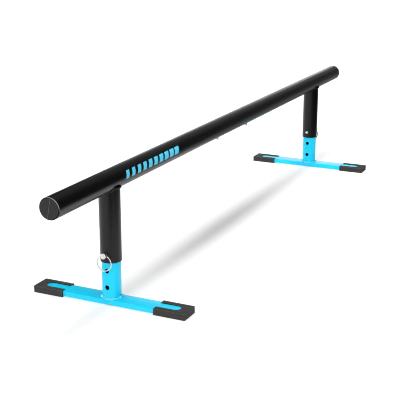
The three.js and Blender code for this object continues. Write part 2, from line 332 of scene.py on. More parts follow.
# %% [markdown]
# Three lamps join the sky. A faint sun straight overhead gives the shadow under the rail its core.
# A small round lamp hangs over the rail's middle, so the shadow is deepest there and fades towards
# both ends. A low panel beyond the far end is there for the far stand's paint to mirror, and
# lights nothing else.
#
# The round lamp's own light fades towards the ends too. A faint glow of the paper makes up for
# exactly that, so all the paper stays equally white and only the shadow fades.

# %% Hang the lamps
SUN_SHARE = 0.12
SUN_WIDTH = math.radians(11)
LAMP_SHARE = 0.46
LAMP_HEIGHT = 0.74
LAMP_X = -0.05
LAMP_WIDTH = 0.12
PANEL_PLACE = (2.3, 1.0, 0.5)
PANEL_AIM = (0.5, 0, 0.2)
PANEL_WIDTH = 1.4
PANEL_TALL = 0.9
PANEL_BRIGHTNESS = 1.9


def lamp(name, kind, place, aim, energy, **settings):
    """A lamp that points at a place and that no camera ray meets."""
    data = bpy.data.lights.new(name, kind)
    data.energy = energy
    for setting, value in settings.items():
        setattr(data, setting, value)
    light = add_object(name, data)
    point(light, place, Vector(aim) - Vector(place))
    light.visible_camera = False
    return light


# A sun gives a white floor its strength over pi
sun_strength = SUN_SHARE * math.pi / FLOOR_WHITE
lamp("overhead_sun", "SUN", (0, 0, 2), (0, 0, 0), sun_strength, angle=SUN_WIDTH)
# Straight below, a small lamp gives a white floor its watts over the square of (pi x height)
overhead_watts = LAMP_SHARE * (math.pi * LAMP_HEIGHT) ** 2 / FLOOR_WHITE
overhead = lamp("overhead_lamp", "AREA", (LAMP_X, 0, LAMP_HEIGHT), (LAMP_X, 0, 0), overhead_watts,
                shape="DISK", size=LAMP_WIDTH)
overhead.visible_glossy = False
panel_watts = PANEL_BRIGHTNESS * math.pi * PANEL_WIDTH * PANEL_TALL
panel = lamp("panel_beyond_far_end", "AREA", PANEL_PLACE, PANEL_AIM, panel_watts,
             shape="RECTANGLE", size=PANEL_WIDTH, size_y=PANEL_TALL)
panel.visible_diffuse = False
print("overhead lamp in watts:", round(overhead_watts, 2))

# %% Let the paper make up for the lamp
ground_x, ground_y, _ = split(object_coordinates(floor_material.node_tree))
from_lamp = ground_x - LAMP_X
spread = (from_lamp * from_lamp + ground_y * ground_y) * LAMP_HEIGHT ** -2 + 1
feed(floor_shader, Emission_Color=(1, 1, 1),
     Emission_Strength=spread.then("POWER", -2) * -LAMP_SHARE + LAMP_SHARE)
bpy.context.scene.view_settings.view_transform = "Standard"

# %% [markdown]
# Black paint shows its roundness only where it mirrors something light beside something dark. A
# photographer lays dark cards round the paper for that, just outside the picture. A black card
# lies in front of the near stand and another along the right of the rail. A grey one beside the
# rail's far half dims its underside, and a darker grey one lies past the far end. Only reflections
# see the cards, so from any side the paper still looks white.

# %% Lay the cards
CARD_HEIGHT = 1 * MM
CORNER_ORDER = (0, 1, 3, 2)
# A card's own brightness, then its corners on the floor; a later card lies on the earlier ones
CARDS = {
    "front_card": (0, ((-1.3, -0.12), (-1.05, -0.72), (-6, -19), (-19, -9))),
    "right_card": (0, ((-1.05, -0.78), (19, 3.6), (19, -19), (-6, -19))),
    "past_end_card": (0.24, ((1.5, -0.85), (1.5, -0.4), (19, 0.3), (19, -7))),
    "beside_card": (0.42, ((-0.1, -0.45), (0.4, 0.08), (2.2, 0.08), (2.2, -0.45))),
}

for count, (name, (brightness, corners)) in enumerate(CARDS.items()):
    leave_edit_mode()
    bpy.ops.mesh.primitive_plane_add(size=1)
    card = make_screen(name, brightness, "glossy")
    for place, (x, y) in zip(CORNER_ORDER, corners):
        card.data.vertices[place].co = (x, y, CARD_HEIGHT * (count + 1))
print("cards:", len(CARDS))

# %% [markdown]
# ## Shared surface effects
#
# Real finishes are never one flat colour. Powder coat has a fine orange peel, thins out on sharp
# edges and varies a little in tone. Rubber is pebbled and dusty. Turned steel carries fine rings.
# Each effect is a node group, built once, and a material puts it in with its own values.

# %% Texture helpers


def noise(vector, scale, detail=2.0):
    """A noise texture's value over a vector."""
    return add_node(vector.tree, "TexNoise", Vector=vector, Scale=scale, Detail=detail)["Fac"]


def mixed(mask, first, second):
    """Two colours mixed by a mask."""
    node = mask.tree.nodes.new("ShaderNodeMix")
    node.data_type = "RGBA"
    for place, value in ((0, mask), (6, first), (7, second)):
        put(node.inputs[place], value)
    return Output(node.outputs[2])


def bumped(height, distance):
    """A bump's normal; the distance is the full height in metres."""
    return add_node(height.tree, "Bump", Height=height, Distance=distance, Strength=1)["Normal"]


def surface_normal(tree):
    """The direction that the surface faces."""
    return add_node(tree, "NewGeometry")["Normal"]


# %% [markdown]
# The first group is the skin of anything coated or moulded: soft clouds of tone over a hand's
# width, a fine speckle, and a peel of small bumps. The peel's size and height are inputs, so the
# same group gives a powder coat's orange peel, a moulded cap's grain and a rubber pad's pebbles.

# %% Group: skin
CLOUD_SCALE = 14
SPECKLE_SCALE = 900
SPECKLE_SHARE = 0.35
ROUGHNESS_SPREAD = 0.06

skin_group, given, skin_out = new_group(
    "skin", "Colour:Color, Tone spread, Roughness, Peel scale, Peel height",
    "Colour:Color, Roughness, Normal:Vector")
where = object_coordinates(skin_group)
tone = noise(where, SPECKLE_SCALE, detail=1) * SPECKLE_SHARE + noise(where, CLOUD_SCALE, detail=3)
centred = tone - (1 + SPECKLE_SHARE) / 2
gain = centred * given["Tone spread"] * 2 + 1
rough_shift = centred * ROUGHNESS_SPREAD * 2
peel = noise(where, given["Peel scale"], detail=1.5)
feed(skin_out,
     Colour=add_node(skin_group, "VectorMath", {"operation": "SCALE"}, Vector=given["Colour"],
                     Scale=gain)["Vector"],
     Roughness=rough_shift.then("ADD", given["Roughness"], clamp=True),
     Normal=bumped(peel, given["Peel height"]))

# %% [markdown]
# Coats are thinnest on sharp edges, and edges are what gets knocked. The edge group compares the
# real normal with one that is rounded over a small radius: they differ only near an edge. Noise
# breaks the mask up, so the wear comes and goes along the edge; Evenness keeps part of it
# everywhere. The same mask also lays painted highlights: a pale line on the pads' edges and glints
# on the blue beads.

# %% Group: edge wear and painted highlight
EDGE_PATCHES = 130
EDGE_SHARPNESS = 9
PATCH_RANGE = (0.4, 0.62)
BEVEL_SAMPLES = 6

edge_group, given, edge_out = new_group("edge_wear_and_highlight", "Width, Amount, Evenness", "Mask")
rounded = add_node(edge_group, "Bevel", {"samples": BEVEL_SAMPLES}, Radius=given["Width"])
likeness = edge_group.nodes.new("ShaderNodeVectorMath")
likeness.operation = "DOT_PRODUCT"
put(likeness.inputs[0], rounded["Normal"])
put(likeness.inputs[1], surface_normal(edge_group))
turned_away = outputs_of(likeness)["Value"] * -1 + 1
edge = turned_away.then("MULTIPLY", EDGE_SHARPNESS, clamp=True)
patches = steps(noise(object_coordinates(edge_group), EDGE_PATCHES, detail=3), *PATCH_RANGE)
feed(edge_out, Mask=edge * patches.then("MAXIMUM", given["Evenness"]) * given["Amount"])

# %% [markdown]
# Dust settles on what faces up. The mask is the upward part of the normal, broken up by two
# noises: broad drifts and fine grains.

# %% Group: dust
DRIFT_SCALE = 35
GRAIN_SCALE = 1400
# Each range is where the dust starts and where it is full, then how much lies at both
FACING_RANGE = (-0.2, 0.9, 0.15, 1)
DRIFT_RANGE = (0.35, 0.7, 0.3, 1)
GRAIN_RANGE = (0.5, 0.72, 0, 1)

dust_group, given, dust_out = new_group("dust", "Amount", "Mask")
_, _, upward = split(surface_normal(dust_group))
where = object_coordinates(dust_group)
drifts = steps(noise(where, DRIFT_SCALE, detail=3), *DRIFT_RANGE)
grains = steps(noise(where, GRAIN_SCALE, detail=0), *GRAIN_RANGE)
feed(dust_out, Mask=steps(upward, *FACING_RANGE) * drifts * grains * given["Amount"])

# %% [markdown]
# A lathe leaves fine rings round a turned piece. The rings depend only on the place along the
# axis and the distance from it, so noise over those two numbers, squeezed tight, draws them on the
# shank and on the flat end alike.

# %% Group: turned rings
RING_SCALE = 2600

rings_group, given, rings_out = new_group(
    "turned_rings", "Axis height, Height", "Mask, Normal:Vector")
x, y, z = split(object_coordinates(rings_group))
above = z - given["Axis height"]
off_axis = (above * above + y * y).then("SQRT")
lathe_place = add_node(rings_group, "CombineXYZ", X=x, Y=off_axis)["Vector"]
ring_noise = noise(lathe_place, RING_SCALE)
feed(rings_out, Mask=ring_noise, Normal=bumped(ring_noise, given["Height"]))

# %% [markdown]
# ## The finishes
#
# Black and light blue powder coat cover the steel. Both are the same recipe: the skin group for
# the peel, and the edge group for thin, lighter edges. Only colours and amounts differ. The
# coat's mirror strength is set low, because a fine texture scatters most of the reflection.

# %% Powder coat recipe
finishes = {}


def coat(name, slot, colour, wear_and_highlight_colour, mirror, tone, wear_and_highlight, roughness=0.32, peel_scale=620,
         peel_height=0.01 * MM, wear_and_highlight_width=0.9 * MM, wear_and_highlight_evenness=0.0):
    """A coated or moulded finish; returns its shader and its colours, for extras."""
    material, shader = new_material(name, Specular_IOR_Level=mirror)
    skin = add_group(material.node_tree, skin_group, Colour=colour, Tone_spread=tone,
                     Roughness=roughness, Peel_scale=peel_scale, Peel_height=peel_height)
    edges = add_group(material.node_tree, edge_group, Width=wear_and_highlight_width, Amount=wear_and_highlight,
                      Evenness=wear_and_highlight_evenness)
    # The edge colour is worn coat on most finishes, and a painted highlight on the pads and blue
    # beads
    colours = mixed(edges["Mask"], skin["Colour"], wear_and_highlight_colour)
    feed(shader, Base_Color=colours, Roughness=skin["Roughness"], Normal=skin["Normal"])
    finishes[name] = (material, slot)
    return shader, colours


# A slot of the record, its colour, and the colour of its worn edges
BLACK = ("black_paint", (0.0022, 0.0022, 0.0023), (0.05, 0.05, 0.052))
BLUE = ("cyan_paint", (0.002, 0.63, 0.91), (0.25, 0.78, 0.95))
BLACK_POWDER = {"mirror": 0.35, "tone": 0.2, "wear_and_highlight": 0.5}

coat("black_coat", *BLACK, **BLACK_POWDER)

# %% Blue coat
# Powder doesn't reach down a tube: inside the posts the steel is bare, and its near-black colour
# there is painted shade as well
INSIDE_BARE_STEEL_AND_SHADE = (0.012, 0.012, 0.013)
COAT_REACH = 1.2 * MM
post_low, post_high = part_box("leg_post_far")
post_middle = (post_low.x + post_high.x) / 2
inner_radius = (post_high.x - post_low.x) / 2 - COAT_REACH

blue_shader, blue_colours = coat("blue_coat", *BLUE, mirror=0.36, tone=0.05, wear_and_highlight=0.45)
x, y, z = split(object_coordinates(blue_colours.tree))
off_post = abs(x) - post_middle
inside_post = (off_post * off_post + y * y).then("LESS_THAN", inner_radius ** 2)
feed(blue_shader, Base_Color=mixed(inside_post, blue_colours, INSIDE_BARE_STEEL_AND_SHADE))

# %% Bead coats, the blue one with painted glints
# The blue bead's pale edge colour is painted glints
BLUE_BEAD_GLINTS = (*BLUE[:2], (0.75, 0.95, 1))
BEAD_PEEL = {"peel_scale": 900, "peel_height": 0.03 * MM}

coat("black_bead_coat", *BLACK, mirror=0.3, tone=0.25, wear_and_highlight=0.2, roughness=0.36, **BEAD_PEEL)
coat("blue_bead_coat", *BLUE_BEAD_GLINTS, mirror=1, tone=0.06, wear_and_highlight=1, roughness=0.15, wear_and_highlight_width=3 * MM,
     **BEAD_PEEL)
print("coats:", sorted(finishes))

# %% [markdown]
# ## The printed stripe on the rail
#
# Each half of the rail carries a light blue print on its side. Here it is a plain row of slanted
# bars that grow wider along the rail. It could be an image, but bars are simple arithmetic: a
# point lies in a bar when its place along the rail, slanted by its place round the tube, lies
# between two limits.
#
# One node group draws one bar, and a loop sets a row of them. The two halves are the same part
# turned half round, so the far half's coordinates are turned back by a Mapping node first.

# %% Group: slanted bar
BAR_EDGE = 0.25 * MM

bar_group, given, bar_out = new_group(
    "slanted_bar", "Along, Around, Middle, Half length, Half height, Slant", "Mask")
slanted = given["Around"] * given["Slant"] + given["Along"]
inside_length = given["Half length"] - abs(slanted - given["Middle"])
inside_height = given["Half height"] - abs(given["Around"])
inside = inside_length.then("MINIMUM", inside_height)
feed(bar_out, Mask=steps(inside, -BAR_EDGE, BAR_EDGE))

# %% Rail coat with its stripe
rail_low, rail_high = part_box("rail_tube_far")
rail_radius = (rail_high.z - rail_low.z) / 2
rail_axis = (rail_high.z + rail_low.z) / 2
PRINT_BLUE = (0.09, 0.62, 0.88)
PRINT_START = -672 * MM
PRINT_END = -392 * MM
PRINT_HEIGHT = 19 * MM
PRINT_RISE = math.radians(14)
PRINT_SLANT = -0.35
BAR_COUNT = 10
BAR_PITCH = (PRINT_END - PRINT_START) / BAR_COUNT
NARROWEST_SHARE = 0.5
WIDEST_SHARE = 0.8


def printed_coat(name, turn):
    """The black coat with the row of bars, for the half that is turned by an angle."""
    shader, colours = coat(name, *BLACK, **BLACK_POWDER)
    tree = colours.tree
    along, across, up = split(add_node(
        tree, "Mapping", Vector=object_coordinates(tree), Location=(0, 0, -rail_axis),
        Rotation=(0, 0, turn))["Vector"])
    around = (up.then("ARCTAN2", across * -1) - PRINT_RISE) * rail_radius
    for count in range(BAR_COUNT):
        share = NARROWEST_SHARE + (WIDEST_SHARE - NARROWEST_SHARE) * count / (BAR_COUNT - 1)
        bar = add_group(tree, bar_group, Along=along, Around=around, Slant=PRINT_SLANT,
                        Middle=PRINT_START + (count + 0.5) * BAR_PITCH,
                        Half_length=BAR_PITCH * share / 2, Half_height=PRINT_HEIGHT / 2)
        bars_so_far = bars_so_far.then("MAXIMUM", bar["Mask"]) if count else bar["Mask"]
    feed(shader, Base_Color=mixed(bars_so_far, colours, PRINT_BLUE))


printed_coat("printed_coat_near", 0)
printed_coat("printed_coat_far", math.pi)
print("bars on each half:", BAR_COUNT)

# %% [markdown]
# ## Plastic, rubber and metals
#
# The end caps are moulded plastic, with a finer and shallower grain than powder coat. Their rim
# is matt, with a painted pale highlight high on one side. The foot pads are rubber: very rough,
# pebbled and a little dusty, with a painted highlight along their edges and painted shade in their
# slot and on their inner end. Bright metals need no colour tricks: their look comes from what they
# mirror, broken up by turning rings and faint stains.

# %% Cap plastic
CAP_PLASTIC = ("black_plastic", (0.007, 0.007, 0.0072), (0.08, 0.08, 0.08))
CAP_GRAIN = {"tone": 0.12, "peel_scale": 1500, "peel_height": 0.012 * MM}
FLOW_GREY = (0.06, 0.06, 0.061)
FLOW_LINE_WIDTH = 1.8 * MM
FLOW_LINE_LEAN = math.radians(-11)


def by_end(vector):
    """X, Y and Z of a place or a normal, with Y turned round on the near end."""
    x, y, z = split(vector)
    end_sign = [*split(object_coordinates(vector.tree))][0].then("SIGN")
    return x, y * end_sign, z


cap_shader, cap_colours = coat("cap_plastic", *CAP_PLASTIC, mirror=0.35, wear_and_highlight=0.35, roughness=0.24,
                               **CAP_GRAIN)
along, across, up = by_end(object_coordinates(cap_colours.tree))
off_line = abs((up - rail_axis) * math.sin(FLOW_LINE_LEAN) + across * math.cos(FLOW_LINE_LEAN))
line_mask = steps(off_line, FLOW_LINE_WIDTH / 2, FLOW_LINE_WIDTH / 4)
feed(cap_shader, Base_Color=mixed(line_mask, cap_colours, FLOW_GREY))

# %% Rim with a painted highlight
# A painted highlight: the rim turns pale grey where its normal faces up and to one side
RIM_HIGHLIGHT_GREY = (0.24, 0.24, 0.236)
HIGHLIGHT_SIDE = 0.6
HIGHLIGHT_TOP = 0.8
HIGHLIGHT_RANGE = (0.35, 0.65)
FACING_OUT_RANGE = (0.2, 0.5)

rim_shader, rim_colours = coat("cap_rim_plastic", *CAP_PLASTIC, mirror=0.12, wear_and_highlight=0, roughness=0.6,
                               **CAP_GRAIN)
outward, across, up = by_end(surface_normal(rim_colours.tree))
highlight_side = steps(across * HIGHLIGHT_SIDE + up * HIGHLIGHT_TOP, *HIGHLIGHT_RANGE)
rim_highlight_mask = steps(abs(outward), *FACING_OUT_RANGE) * highlight_side
feed(rim_shader, Base_Color=mixed(rim_highlight_mask, rim_colours, RIM_HIGHLIGHT_GREY))

# %% Rubber
# The rubber's second colour is a painted highlight along the pads' edges, kept unbroken by the
# evenness
RUBBER_AND_EDGE_HIGHLIGHT = ("rubber", (0.03, 0.03, 0.031), (0.2, 0.2, 0.198))
# Near-black rubber is painted shade, for the walls of the slot and the pad's inner end
RUBBER_IN_PAINTED_SHADE = ("rubber", (0.005, 0.005, 0.005), (0.02, 0.02, 0.02))
PEBBLES = {"tone": 0.2, "peel_scale": 1100, "peel_height": 0.05 * MM}
DUST_GREY = (0.16, 0.155, 0.15)
DUST_AMOUNT = 0.35

rubber_shader, rubber_colours = coat("pad_rubber", *RUBBER_AND_EDGE_HIGHLIGHT, mirror=0.35, wear_and_highlight=1, roughness=0.74,
                                     wear_and_highlight_width=2.2 * MM, wear_and_highlight_evenness=0.6, **PEBBLES)
dust = add_group(rubber_colours.tree, dust_group, Amount=DUST_AMOUNT)
feed(rubber_shader, Base_Color=mixed(dust["Mask"], rubber_colours, DUST_GREY))
coat("cut_rubber", *RUBBER_IN_PAINTED_SHADE, mirror=0.1, wear_and_highlight=0.2, roughness=0.6, **PEBBLES)
print("finishes so far:", len(finishes))

# %% Metals
STAIN_RANGE = (0.35, 0.75)
STAIN_ROUGHNESS = 0.1
RING_ROUGHNESS = 0.12


def metal(name, slot, bright, stained, roughness, stain_scale, axis_height, ring_height):
    """A bare or plated metal with faint stains and turning rings."""
    material, shader = new_material(name, Metallic=1)
    tree = material.node_tree
    stains = steps(noise(object_coordinates(tree), stain_scale, detail=4), *STAIN_RANGE)
    rings = add_group(tree, rings_group, Axis_height=axis_height, Height=ring_height)
    colours = mixed(stains, bright, stained)
    ring_rough = rings["Mask"] * RING_ROUGHNESS + (roughness - RING_ROUGHNESS / 2)
    feed(shader, Base_Color=colours, Roughness=stains * STAIN_ROUGHNESS + ring_rough,
         Normal=rings["Normal"])
    finishes[name] = (material, slot)
    return shader, colours


pin_low, pin_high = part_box("lock_pin_far")
pin_axis = (pin_low.z + pin_high.z) / 2
metal("bright_nickel", "polished_steel", bright=(0.72, 0.71, 0.68), stained=(0.58, 0.56, 0.52),
      roughness=0.2, stain_scale=160, axis_height=pin_axis, ring_height=0.006 * MM)
metal("bare_spring_steel", "spring_steel", bright=(0.34, 0.34, 0.35), stained=(0.22, 0.21, 0.2),
      roughness=0.34, stain_scale=90, axis_height=rail_axis, ring_height=0.004 * MM)

# %% [markdown]
# Yellow zinc plating is a thin clear film over silver. It is straw yellow with faint drifts of
# green and pink, as a film of oil has, so its stain colour shifts with a second noise.

# %% Yellow zinc
ZINC_DRIFT = 420
FILM_PINK = (0.72, 0.62, 0.52)
FILM_RANGE = (0.45, 0.7, 0, 0.5)

zinc_shader, straw = metal(
    "yellow_zinc_plate", "yellow_zinc", bright=(0.8, 0.74, 0.5), stained=(0.68, 0.6, 0.4),
    roughness=0.34, stain_scale=260, axis_height=rail_axis, ring_height=0.004 * MM)
film = steps(noise(object_coordinates(straw.tree), ZINC_DRIFT), *FILM_RANGE)
feed(zinc_shader, Base_Color=mixed(film, straw, FILM_PINK))
print("all finishes:", sorted(finishes))

# %% [markdown]
# The construction pieces get a finish too, because the joiner and the ball springs stay as they
# are. The record names a material slot for each, and the first finish made for a slot is its own.

# %% Dress the construction pieces
slot_material = {}
for material, slot in finishes.values():
    slot_material.setdefault(slot, material)
for subpart in frame["record"]["subparts"]:
    materials = frame["nodes"][subpart["node"]].data.materials
    materials.clear()
    materials.append(slot_material[subpart["material_slot"]])

# %% [markdown]
# ## Tools for modelling
#
# Everything below is modelled the way a hand would: add a shape, pick faces or edges, inset,
# bevel, spin and cut. In a script a test on each element's place or direction does the picking.

# %% Picking
# A face looks along an axis when that part of its normal is larger than this
FACING = 0.9


def take(piece):
    """Makes one piece the only selected and active one."""
    leave_edit_mode()
    piece.select_set(True)
    bpy.context.view_layer.objects.active = piece


def edit(piece, pick_all=False):
    """Opens one piece for editing, with nothing or everything picked."""
    take(piece)
    bpy.ops.object.mode_set(mode="EDIT")
    bpy.ops.mesh.select_all(action="SELECT" if pick_all else "DESELECT")


def pick(kind, test):
    """While editing, picks the verts, edges or faces that pass a test; returns how many."""
    bpy.ops.mesh.select_mode(type={"verts": "VERT", "edges": "EDGE", "faces": "FACE"}[kind])
    bpy.ops.mesh.select_all(action="DESELECT")
    mesh = bpy.context.object.data
    shape = bmesh.from_edit_mesh(mesh)
    chosen = [element for element in getattr(shape, kind) if test(element)]
    for element in chosen:
        element.select_set(True)
    bmesh.update_edit_mesh(mesh)
    return len(chosen)


def both(edge, test):
    """Whether both ends of an edge pass a test on their place."""
    return all(test(vert.co) for vert in edge.verts)


def reach(edge):
    """How far an edge reaches along X, Y and Z."""
    return Vector(abs(value) for value in edge.verts[0].co - edge.verts[1].co)


# %% Starting shapes


def settle(name):
    """Names the new object and puts its place, turn and scale into its mesh."""
    piece = name_it(name)
    take(piece)
    bpy.ops.object.transform_apply(location=True, rotation=True, scale=True)
    return piece


def clean(piece, distance=0.002 * MM):
    """Merges doubled corners and turns every face outwards."""
    edit(piece, pick_all=True)
    bpy.ops.mesh.remove_doubles(threshold=distance)
    bpy.ops.mesh.normals_make_consistent(inside=False)
    leave_edit_mode()


def box_piece(name, low, high):
    """A box between two corners, as a start."""
    leave_edit_mode()
    low, high = Vector(low), Vector(high)
    bpy.ops.mesh.primitive_cube_add(size=1, location=(low + high) / 2, scale=high - low)
    return settle(name)


AXIS_TURNS = {"x": (0, math.pi / 2, 0), "y": (math.pi / 2, 0, 0), "z": (0, 0, 0)}


def round_bar(name, axis, radius, low, high, across, sides):
    """A solid round bar along an axis, from one place to another, as a cutter."""
    leave_edit_mode()
    centre = list(across)
    centre.insert("xyz".index(axis), (low + high) / 2)
    bpy.ops.mesh.primitive_cylinder_add(vertices=sides, radius=radius, depth=high - low,
                                        location=centre, rotation=AXIS_TURNS[axis])
    return settle(name)


# %% Cutting and copying


def modify(piece, kind, **settings):
    """Adds a modifier to a piece, sets it up and applies it."""
    take(piece)
    modifier = piece.modifiers.new(kind.lower(), kind)
    for setting, value in settings.items():
        setattr(modifier, setting, value)
    bpy.ops.object.modifier_apply(modifier=modifier.name)


def combine(piece, other, operation="DIFFERENCE"):
    """Cuts a closed shape out of a piece, or joins it on with UNION, and removes it."""
    modify(piece, "BOOLEAN", object=other, solver="EXACT", operation=operation)
    bpy.data.objects.remove(other)


def turn_and_move(turn, axis, place):
    """A matrix that turns a shape about an axis and then moves it to a place."""
    return Matrix.Translation(place) @ Matrix.Rotation(turn, 4, axis)


def twin(piece, name, centre=(0, 0, 0)):
    """A copy with its own mesh, turned half round an upright line."""
    take(piece)
    bpy.ops.object.duplicate()
    copy = name_it(name)
    copy.data.transform(turn_and_move(math.pi, "Z", centre) @ Matrix.Translation(-Vector(centre)))
    return copy


# %% Finishing
made = {}


def finish(piece, finish_name, body, node, smooth=30):
    """Smooths a piece, gives it its material, and ties it to the body that carries it."""
    take(piece)
    bpy.ops.object.shade_smooth_by_angle(angle=math.radians(smooth))
    material, slot = finishes[finish_name]
    piece.data.materials.clear()
    piece.data.materials.append(material)
    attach(piece, body)
    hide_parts(node)
    made[piece.name] = len(piece.data.polygons)


def finish_pair(piece, *names, smooth=30):
    """Copies a far piece to the near end and finishes both. END in a name is far or near."""
    pair = {"far": piece, "near": twin(piece, piece.name.replace("far", "near"))}
    for end, copy in pair.items():
        finish(copy, *(name.replace("END", end) for name in names), smooth=smooth)
    print(piece.name, "and its twin have", made[piece.name], "faces each")
    return pair


def repaint(piece, finish_name, test):
    """Gives the faces that pass a test on their middle and normal a second finish."""
    piece.data.materials.append(finishes[finish_name][0])
    chosen = [face for face in piece.data.polygons if test(face.center, face.normal)]
    for face in chosen:
        face.material_index = len(piece.data.materials) - 1
    print(piece.name, "faces repainted:", len(chosen))


# %% [markdown]
# ## Tubes with holes
#
# The rail, the sleeves and the posts are steel tubes, and most have punched holes with softly
# rounded rims. A hole can be cut in a round tube, but its rim is then hard to bevel, because the
# cut crosses dozens of narrow facets.
#
# So the tube is made as in a tube mill. A flat strip gets its holes and rims while it is flat, and
# a cut across a flat face bevels cleanly. Then the strip is sliced into narrow columns and rolled
# up until its two edges meet.

# %% Roll a tube from a strip
RIM_STEPS = 3
HOLE_SIDES = 48
RING_MARGIN = 2.5 * MM
END_RING = 1 * MM
SEAM_TURN = math.pi / 2


def rolled_tube(name, axis, centre, radius, wall, low, high, holes, rim=0.5 * MM,
                end_round=0.4 * MM, columns=128):
    """A tube along an axis. A hole is (place along, turn round the axis, radius)."""
    girth = 2 * math.pi * radius
    near = rim / 10
    strip = box_piece(name, (0, low, -wall), (girth, high, 0))
    for along, turn, hole_radius in holes:
        around = ((turn - SEAM_TURN) % (2 * math.pi)) * radius
        combine(strip, round_bar("punch", "z", hole_radius, -2 * wall, wall, (around, along),
                                 HOLE_SIDES))
        edit(strip)
        middle = Vector((around, along, 0))
        pick("edges", lambda edge: both(edge, lambda co: abs(co.z) < near
                                        and abs((co - middle).length - hole_radius) < near))
        bpy.ops.mesh.bevel(offset=rim, segments=RIM_STEPS)
    edit(strip)
    pick("faces", lambda face: abs(face.normal.x) > FACING
         and not near < face.calc_center_median().x < girth - near)
    bpy.ops.mesh.delete(type="FACE")
    for end in (low, high):
        pick("edges", lambda edge: both(edge, lambda co: abs(co.z) < near
                                        and abs(co.y - end) < near))
        bpy.ops.mesh.bevel(offset=end_round, segments=RIM_STEPS)
    ring_places = [low + END_RING, high - END_RING]
    for along, turn, hole_radius in holes:
        ring_places += [along - hole_radius - RING_MARGIN, along + hole_radius + RING_MARGIN]
    slices = [((0, place, 0), (0, 1, 0)) for place in ring_places]
    slices += [((girth * column / columns, 0, 0), (1, 0, 0)) for column in range(1, columns)]
    for place, across in slices:
        bpy.ops.mesh.select_all(action="SELECT")
        bpy.ops.mesh.bisect(plane_co=place, plane_no=across)
    leave_edit_mode()
    for vert in strip.data.vertices:
        around, along, depth = vert.co
        angle = around / radius + SEAM_TURN
        first = centre[0] + (radius + depth) * math.cos(angle)
        second = centre[1] + (radius + depth) * math.sin(angle)
        vert.co = (along, first, second) if axis == "x" else (first, second, along)
    clean(strip)
    return strip


# %% [markdown]
# ## The rail
#
# The rail is two halves that meet in the middle, with a hairline between them. Each half has one
# hole underneath for its spring button. Turn angles are counted from +Y here, so straight down is
# three quarters of a turn.

# %% Rail halves
RAIL_WALL = 2 * MM
RAIL_COLUMNS = 160
RAIL_END_ROUND = 0.12 * MM
BUTTON_HOLE_RADIUS = 4.6 * MM
DOWN = 1.5 * math.pi
button_low, button_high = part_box("snap_button_far")
button_x = (button_low.x + button_high.x) / 2

rail = rolled_tube("rail_far", "x", (0, rail_axis), rail_radius, RAIL_WALL, rail_low.x,
                   rail_high.x, [(button_x, DOWN, BUTTON_HOLE_RADIUS)],
                   end_round=RAIL_END_ROUND, columns=RAIL_COLUMNS)
finish_pair(rail, "printed_coat_END", "rail", "rail_tube_END")

# %% [markdown]
# ## Turned shapes
#
# Caps, buttons and pins are round about a line. Each is drawn as half an outline and spun, as clay
# is turned on a wheel. A Bevel modifier can then round the outline's corners.

# %% Spin an outline
SPIN_STEPS = 96
SPUN_BEVEL_ANGLE = math.radians(25)


def spun(name, outline, axis, centre, bevel=0):
    """A closed half outline of (radius, place) corners, spun about an x or z line."""
    first, second = centre
    mesh = bpy.data.meshes.new(name)
    corners = [(place, first + radius, second) if axis == "x" else (first + radius, second, place)
               for radius, place in outline]
    mesh.from_pydata(corners, [(count, count + 1) for count in range(len(corners) - 1)], [])
    piece = add_object(name, mesh)
    edit(piece, pick_all=True)
    middle, line = ((0, *centre), (1, 0, 0)) if axis == "x" else ((*centre, 0), (0, 0, 1))
    bpy.ops.mesh.spin(steps=SPIN_STEPS, angle=2 * math.pi, center=middle, axis=line)
    clean(piece)
    if bevel:
        modify(piece, "BEVEL", width=bevel, segments=3, limit_method="ANGLE",
               angle_limit=SPUN_BEVEL_ANGLE)
    return piece


def arc(radius, place, rounding, start, count):
    """The corners of a quarter round in an outline, about a point, from a starting turn."""
    turns = [start + math.pi / 2 * step / count for step in range(count + 1)]
    return [(radius + rounding * math.cos(turn), place + rounding * math.sin(turn))
            for turn in turns]


# %% [markdown]
# ## End caps
#
# A cap has a flange as wide as the tube and a hollow plug that grips inside it. The flange's rim
# is well rounded, and a fine ridge crosses its face where the mould's two flows of plastic met.

# %% Caps
CAP_FLANGE = 3 * MM
CAP_ROUND = 3 * MM
CAP_STEPS = 6
PLUG_GAP = 0.3 * MM
PLUG_WALL = 2.5 * MM
PLUG_ROUND = 0.5 * MM
RIDGE_HEIGHT = 0.5 * MM
cap_low, cap_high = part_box("end_cap_far")
cap_back = cap_high.x - CAP_FLANGE
cap_face = cap_high.x - RIDGE_HEIGHT
plug_radius = rail_radius - RAIL_WALL - PLUG_GAP

cap_outline = [
    (0, cap_back),
    (plug_radius - PLUG_WALL, cap_back),
    (plug_radius - PLUG_WALL, cap_low.x),
    (plug_radius - PLUG_ROUND, cap_low.x),
    (plug_radius, cap_low.x + PLUG_ROUND),
    (plug_radius, cap_back),
    (rail_radius, cap_back),
    *arc(rail_radius - CAP_ROUND, cap_face - CAP_ROUND, CAP_ROUND, 0, CAP_STEPS),
    (0, cap_face),
]
cap = spun("cap_far", cap_outline, "x", (0, rail_axis))

# %% Cap ridge
RIDGE_ROUND = 0.7 * RIDGE_HEIGHT
# The rim is where the normal turns away from the rail's line
RIM_NORMALS = (0.02, 0.98)

